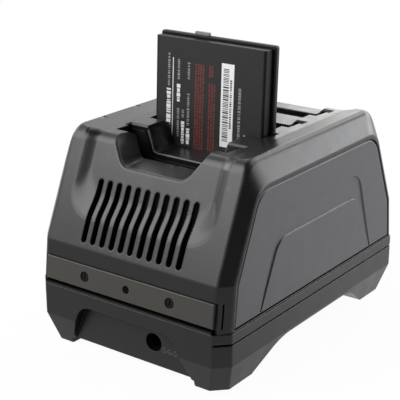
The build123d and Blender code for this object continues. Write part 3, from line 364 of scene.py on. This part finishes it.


# Finishes: colour, roughness and the settings that differ from those of their kind
# In moulded plastics, joints, grooves and hollows within the reach get painted shade: their reflection is dimmed
plastics = {
    "case_plastic": ((0.0070, 0.0070, 0.0077), 0.30, {"edge": 0.9}),
    "panel_plastic": ((0.038, 0.037, 0.047), 0.40, {"edge": 0.2, "specular": 0.9, "dull": 0, "reach": 0.9}),
    "base_plastic": ((0.0058, 0.0058, 0.0066), 0.36, {"edge": 0.6, "specular": 0.52, "reach": 14}),
    "rim_plastic": ((0.0058, 0.0058, 0.0066), 0.36, {"edge": 0.1, "wear": 0, "specular": 0.42}),
    # The polarity mark's paler colour is a painted highlight on its raised relief
    "polarity_mark": ((0.065, 0.065, 0.069), 0.34, {"edge": 0.1}),
    # Near-black finish that paints the shadow in the joint under the strip
    "seal_rubber": ((0.0015, 0.0015, 0.0015), 0.6, {"edge": 0.1, "wear": 0, "specular": 0.05}),
    # Pale finish of the channel bead: a painted highlight on the land's edge
    "bright_edge": ((0.11, 0.11, 0.112), 0.3, {"edge": 0.1, "wear": 0}),
    "well_plastic": ((0.005, 0.005, 0.0052), 0.5, {"edge": 0.4, "specular": 0.35}),
    "strip_plastic": ((0.047, 0.0428, 0.0375), 0.4, {"grain": 0.5, "edge": 0.2, "specular": 0.42}),
    "jack_plastic": ((0.002, 0.002, 0.002), 0.5, {"edge": 0.2, "specular": 0.06}),
    "power_lens": ((0.003, 0.0016, 0.0015), 0.35, {"edge": 0.1, "wear": 0, "specular": 0.06}),
    "battery_case": ((0.006, 0.006, 0.0066), 0.42, {"grain": 0.4, "edge": 0.7, "specular": 0.22}),
    "battery_cover": ((0.006, 0.006, 0.0064), 0.42, {"specular": 0.28}),
    "tab_plastic": ((0.24, 0.24, 0.24), 0.5, {"edge": 0.3}),
    "rubber": ((0.012, 0.012, 0.012), 0.75, {"grain": 0.6, "edge": 0.4, "specular": 0.3}),
    "chip": ((0.01, 0.01, 0.011), 0.5, {"edge": 0.15}),
    "coil": ((0.04, 0.04, 0.044), 0.6, {"edge": 0.2}),
    "connector": ((0.02, 0.02, 0.021), 0.45, {"edge": 0.2}),
}
films = {
    "cable": ((0.24, 0.25, 0.27), 0.45, {}),
    "lamp": ((0.62, 0.62, 0.56), 0.3, {}),
    "circuit_board": ((0.012, 0.09, 0.035), 0.3, {"cloud": 0.3}),
    "battery_label": ((0.019, 0.0186, 0.0186), 0.42, {"specular": 0.34}),
    "label_white_ink": ((0.8, 0.8, 0.79), 0.5, {}),
    "label_grey_ink": ((0.26, 0.26, 0.26), 0.5, {}),
    "label_red_ink": ((0.15, 0.024, 0.018), 0.5, {}),
    "sticker_paper": ((0.86, 0.86, 0.85), 0.55, {"cloud": 0.03}),
    "sticker_ink": ((0.03, 0.03, 0.032), 0.5, {}),
}
metals = {
    "capacitor": ((0.6, 0.61, 0.63), 0.35, {}),
    "screw_steel": ((0.025, 0.025, 0.025), 0.42, {}),
    "contact_metal": ((0.83, 0.6, 0.22), 0.25, {}),
}
lenses = {"status_lens": ((0.16, 0.16, 0.16), 0.25, {"transmission": 0.5})}

finishes = {}
kinds = ((moulded_plastic, plastics), (satin_film, films), (plated_metal, metals), (clear_plastic, lenses))
for make, table in kinds:
    for name, (colour, roughness, settings) in table.items():
        finishes[name] = make(name, colour, roughness, **settings)

for part in frame["record"]["subparts"]:
    mesh = nodes[part["node"]].data
    mesh.materials.clear()
    mesh.materials.append(finishes[part["material_slot"]])


# Battery label: generic greeked print, a bar sticker and plain rules, each a thin film on its face


def on_label(across, down, out):
    """Points on the label: across it, down from the pack's top edge along the lean, and out from its face."""
    high = box_corners("battery_label")[1]
    up = np.array([0, math.sin(battery_lean), math.cos(battery_lean)])
    face = np.array([0, -math.cos(battery_lean), math.sin(battery_lean)])
    top = np.array([0, high[1] - film_thickness * math.cos(battery_lean), high[2]]) + label_top_margin * up
    across, down, out = np.broadcast_arrays(across, down, out)
    return top + across[..., None] * np.array([1, 0, 0]) - down[..., None] * up + out[..., None] * face


def label_boxes(name, low, high, material):
    """Closed boxes on the label between low and high corners, each given across, down and out."""
    boxes, faces = bar_boxes(low, high)
    points = on_label(boxes[..., 0], boxes[..., 1], boxes[..., 2])
    new_piece(name, points, faces, material, "battery")


def print_bars(name, bars, material, lift=0.0):
    """Printed bars on the label, each given as low and high across and down: thin closed boxes laid on its
    face."""
    bars = np.asarray(bars, float)
    low = np.column_stack([bars[:, 0], bars[:, 2], np.full(len(bars), lift - print_sink)])
    high = np.column_stack([bars[:, 1], bars[:, 3], np.full(len(bars), lift + print_height)])
    label_boxes(name, low, high, material)


def greeked_column(draw, middle, width, start, end, longest):
    """Greeked print, dashes of uneven length down a column: a seeded generator draws lengths, gaps and
    widths, and each dash starts where the lengths and gaps before it add up to."""
    step_share, spare, shortest_share, small_share = 0.2, 2, 0.3, 0.78
    letter_gap, word_gap = 0.28, 0.6
    count = int((end - start) / (step_share * longest)) + spare
    lengths = draw.uniform(shortest_share, 1.0, count) * longest
    gaps = draw.choice([letter_gap, letter_gap, letter_gap, word_gap], count)
    ends = start + np.cumsum(lengths + gaps) - gaps
    starts = ends - lengths
    keep = ends <= end
    half = width / 2 * draw.choice([1.0, 1.0, small_share], count)
    return np.column_stack([middle - half, middle + half, starts, ends])[keep]


def sticker_stripes(draw):
    """Plain stripes down the sticker, of widths and gaps that the seeded generator draws."""
    low, high, start, end = stripe_area
    widths = draw.choice(stripe_widths, stripe_count)
    gaps = draw.choice(stripe_gaps, stripe_count)
    ends = start + np.cumsum(widths + gaps) - gaps
    keep = ends < end
    rows = np.ones(stripe_count)
    return np.column_stack([low * rows, high * rows, ends - widths, ends])[keep]


def label_print():
    """All of the label's columns, with the printed rules and the sticker."""
    draw = np.random.default_rng(random_seed)
    white = [greeked_column(draw, *column) for column in white_columns]
    grey = [greeked_column(draw, *column) for column in grey_columns]
    red = [
        greeked_column(draw, middle, red_width, start, end, red_dash)
        for middles, start, end in red_blocks
        for middle in middles
    ]
    stripes = sticker_stripes(draw)
    notes = greeked_column(draw, *sticker_column)
    print_bars("label_print_white", np.vstack([*white, white_rule]), finishes["label_white_ink"])
    print_bars("label_print_grey", np.vstack([*grey, grey_dots]), finishes["label_grey_ink"])
    print_bars("label_print_red", np.vstack(red), finishes["label_red_ink"])
    print_bars("label_sticker", [sticker_area], finishes["sticker_paper"])
    print_bars("label_stripes", np.vstack([stripes, notes]), finishes["sticker_ink"], lift=print_height)


def label_wrap():
    """Top margin of the label's film, drawn over the pack's edge: one thin bar that stands a hair over the
    label's face."""
    start, overlap, under, over = 0.3, 0.05, 0.25, 0.004
    label_low, label_high = box_corners("battery_label")
    low = np.array([[label_low[0], start, -under]])
    high = np.array([[label_high[0], label_top_margin + overlap, over]])
    label_boxes("label_wrap", low, high, finishes["battery_label"])


label_print()
label_wrap()


# Small mouldings of the casing and the base


def polarity_mark():
    """Raised polarity sign beside the inlet, whose paler finish is a painted highlight on the relief: three rings
    in a row joined by bars, with a minus, a dot and a plus; a ring's path is its middle plus the radius times cos
    and sin of the turn."""
    beside, below, ahead = 8.4, 1.7, 2.18
    pitch, radius, bead, reach, steps = 2.8, 1.05, 0.18, 0.55, 28
    dot = 2 * bead
    jack_low, jack_high = box_corners("dc_jack")
    jack_middle = (jack_low + jack_high) / 2
    middle, face, height = jack_middle[0] + beside, jack_low[1] - ahead, jack_middle[2] - below
    turn = np.linspace(0, 2 * math.pi, steps, endpoint=False)
    outward = np.tile([0, -1.0, 0], (steps, 1))
    left, right = middle - pitch, middle + pitch
    parts = []
    for x in (left, middle, right):
        ring = [x + radius * np.cos(turn), np.full(steps, face), height + radius * np.sin(turn)]
        parts.append(round_bead(np.column_stack(ring), outward, bead, True))
    spans = np.array(
        [
            [left - reach, left + reach, -bead, bead],
            [right - reach, right + reach, -bead, bead],
            [right - bead, right + bead, -reach, reach],
            [middle - dot, middle + dot, -dot, dot],
            [left + radius, middle - radius, -bead, bead],
            [middle + radius, right - radius, -bead, bead],
        ]
    )
    rows = np.ones(len(spans))
    low = np.column_stack([spans[:, 0], (face - bead) * rows, height + spans[:, 2]])
    high = np.column_stack([spans[:, 1], (face + bead) * rows, height + spans[:, 3]])
    points, faces = bar_boxes(low, high)
    parts.append((points.reshape(-1, 3), faces))
    points, faces = join_meshes(parts)
    new_piece("polarity_mark", points, faces, finishes["polarity_mark"], "charger")


def channel_highlight_bead():
    """Rounded edge of the land behind the first bay, where the finger channel crosses it, drawn as a painted
    highlight:
    a pale round bead along straight flanks and floor joined by arcs, leaning back with the bay."""
    floor, floor_end, flank_low, flank_top = 80.8, 15.44, (17.79, 82.46), (20.6, 90.4)
    front, lean, radius, sink = -28.98, 0.0428, 0.45, 0.3
    corner, steps = 2.5, 7
    flank_turn = math.atan2(flank_low[0] - floor_end, floor + corner - flank_low[1])
    turn = np.linspace(0, flank_turn, steps)
    arc = np.column_stack([floor_end + corner * np.sin(turn), floor + corner * (1 - np.cos(turn))])
    half = np.vstack([[[0, floor]], arc, [flank_top]])
    outline = np.vstack([half[:0:-1] * [-1, 1], half])
    x, z = outline.T
    path = np.column_stack([x, front + lean * (z - floor) + sink, z])
    inward = np.column_stack([np.gradient(z), np.zeros(len(x)), -np.gradient(x)])
    inward /= np.linalg.norm(inward, axis=1, keepdims=True)
    points, faces = round_bead(path + sink * inward, inward, radius, False)
    new_piece("channel_highlight_bead", points, faces, finishes["bright_edge"], "charger")


def joint_bar(name, end_inset, front_inset, depth, height, finish, slot):
    """Bar along the joint under the front strip: one closed box on the base's top edge, as long as the strip
    less an inset at each end."""
    strip_low, strip_high = box_corners("front_strip")
    base_low, base_high = box_corners("base_tray")
    front, top = base_low[1] + front_inset, base_high[2]
    low = np.array([[strip_low[0] + end_inset, front, top - joint_sink]])
    high = np.array([[strip_high[0] - end_inset, front + depth, top + height]])
    points, faces = bar_boxes(low, high)
    new_piece(name, points, faces, finishes[finish], "charger")


polarity_mark()
channel_highlight_bead()
for name, settings in joint_bars.items():
    joint_bar(name, *settings)


# Floor, light and camera


def seen_share(tree, share):
    """Share of plain white for the rays that see the stage, from the camera or in reflections and clear
    plastic; the other rays get none."""
    path = add_node(tree, "ShaderNodeLightPath")
    seen = path.outputs["Is Camera Ray"]
    for ray in ("Is Glossy Ray", "Is Transmission Ray"):
        either = add_node(tree, "ShaderNodeMath", {0: seen, 1: path.outputs[ray]}, operation="MAXIMUM")
        seen = either.outputs[0]
    return spread(tree, seen, 0, share, 0, 1)


def studio_floor():
    """Pale floor far larger than the view, which stays white behind the charger and keeps its shadow; its
    mirror image is brighter towards the back, with painted shade in front of the charger."""
    material, tree = new_material("floor")
    coords = add_node(tree, "ShaderNodeTexCoord")
    place = add_node(tree, "ShaderNodeSeparateXYZ", {0: coords.outputs["Object"]}).outputs["Y"]
    mirrored = spread(tree, place, shaded_front_level, back_level, front_place * mm, back_place * mm)
    path = add_node(tree, "ShaderNodeLightPath")
    level = spread(tree, path.outputs["Is Camera Ray"], mirrored, 1, 0, 1)
    matt = add_node(tree, "ShaderNodeBsdfDiffuse", {"Color": floor_colour})
    white = add_node(tree, "ShaderNodeEmission", {"Color": plain_white, "Strength": level})
    inputs = {0: seen_share(tree, floor_white_share), 1: matt.outputs[0], 2: white.outputs[0]}
    close_material(tree, "ShaderNodeMixShader", inputs)
    points = floor_reach * np.array([[-1, -1, 0], [1, -1, 0], [1, 1, 0], [-1, 1, 0]])
    floor = new_object("floor", points, np.arange(len(points))[None], material)


def toward(azimuth, elevation, distance):
    """Place at a distance from the charger's middle: azimuth in degrees from the front round to the right."""
    turn, rise = math.radians(azimuth), math.radians(elevation)
    way = np.array([math.sin(turn) * math.cos(rise), -math.cos(turn) * math.cos(rise), math.sin(rise)])
    return np.array([0, 0, aim_height]) + distance * way


def facing(azimuth, elevation):
    """Turn of a lamp or a camera that looks at the charger from a direction in degrees."""
    return math.radians(90 - elevation), 0, math.radians(azimuth)


def soft_panel(name, azimuth, elevation, distance, width, height, radiance, colour):
    """Soft lamp that faces the charger from a direction; its power is its radiance times pi and its area."""
    lamp = bpy.data.lights.new(name, "AREA")
    lamp.shape = "RECTANGLE"
    lamp.size = width * mm
    lamp.size_y = height * mm
    lamp.energy = radiance * math.pi * width * height * mm * mm
    lamp.color = colour
    panel = bpy.data.objects.new(name, lamp)
    panel.location = toward(azimuth, elevation, distance) * mm
    panel.rotation_euler = facing(azimuth, elevation)
    panel.visible_camera = False
    bpy.context.scene.collection.objects.link(panel)


def dark_sheet(name, points, faces):
    """Dark sheet of the studio that the charger's near edges mirror."""
    material, tree = new_material(name)
    close_material(tree, "ShaderNodeBsdfDiffuse", {"Color": dark_colour})
    sheet = new_object(name, points, faces, material)
    sheet.visible_camera = False


def dark_wall(name, azimuth, half_angle, low, high, distance):
    """Dark sheet bent to part of an upright cylinder round the charger."""
    columns = 13
    turn = np.radians(azimuth + half_angle * np.linspace(-1, 1, columns))
    rim = distance * np.column_stack([np.sin(turn), -np.cos(turn)])
    points = np.vstack([np.column_stack([rim, np.full(columns, level)]) for level in (low, high)])
    first = np.arange(columns - 1)
    faces = np.column_stack([first, first + 1, first + columns + 1, first + columns])
    dark_sheet(name, points, faces)


def dark_ceiling():
    """Flat dark sheet above the charger."""
    count = len(ceiling_corners)
    points = np.column_stack([ceiling_corners, np.full(count, ceiling_height)])
    dark_sheet("dark_ceiling", points, np.arange(count)[None])


def studio_world():
    """Even surroundings that light the charger softly and are white behind it."""
    world = bpy.data.worlds.new("studio")
    bpy.context.scene.world = world
    world.use_nodes = True
    tree = world.node_tree
    tree.nodes.clear()
    level = spread(tree, seen_share(tree, 1), world_strength, 1, 0, 1)
    back = add_node(tree, "ShaderNodeBackground", {"Color": plain_white, "Strength": level})
    add_node(tree, "ShaderNodeOutputWorld", {"Surface": back.outputs[0]})


def photo_camera():
    """Camera at the photograph's view."""
    data = bpy.data.cameras.new("photo_view")
    data.lens = camera_lens
    data.sensor_width = camera_sensor
    camera = bpy.data.objects.new("photo_view", data)
    camera.location = np.array(camera_place) * mm
    camera.rotation_euler = facing(view_azimuth, view_elevation)
    bpy.context.scene.collection.objects.link(camera)
    bpy.context.scene.camera = camera


studio_floor()
for name, settings in soft_panels.items():
    soft_panel(name, *settings)
for name, settings in dark_walls.items():
    dark_wall(name, *settings)
dark_ceiling()
studio_world()
photo_camera()
bpy.context.scene.view_settings.view_transform = "Standard"
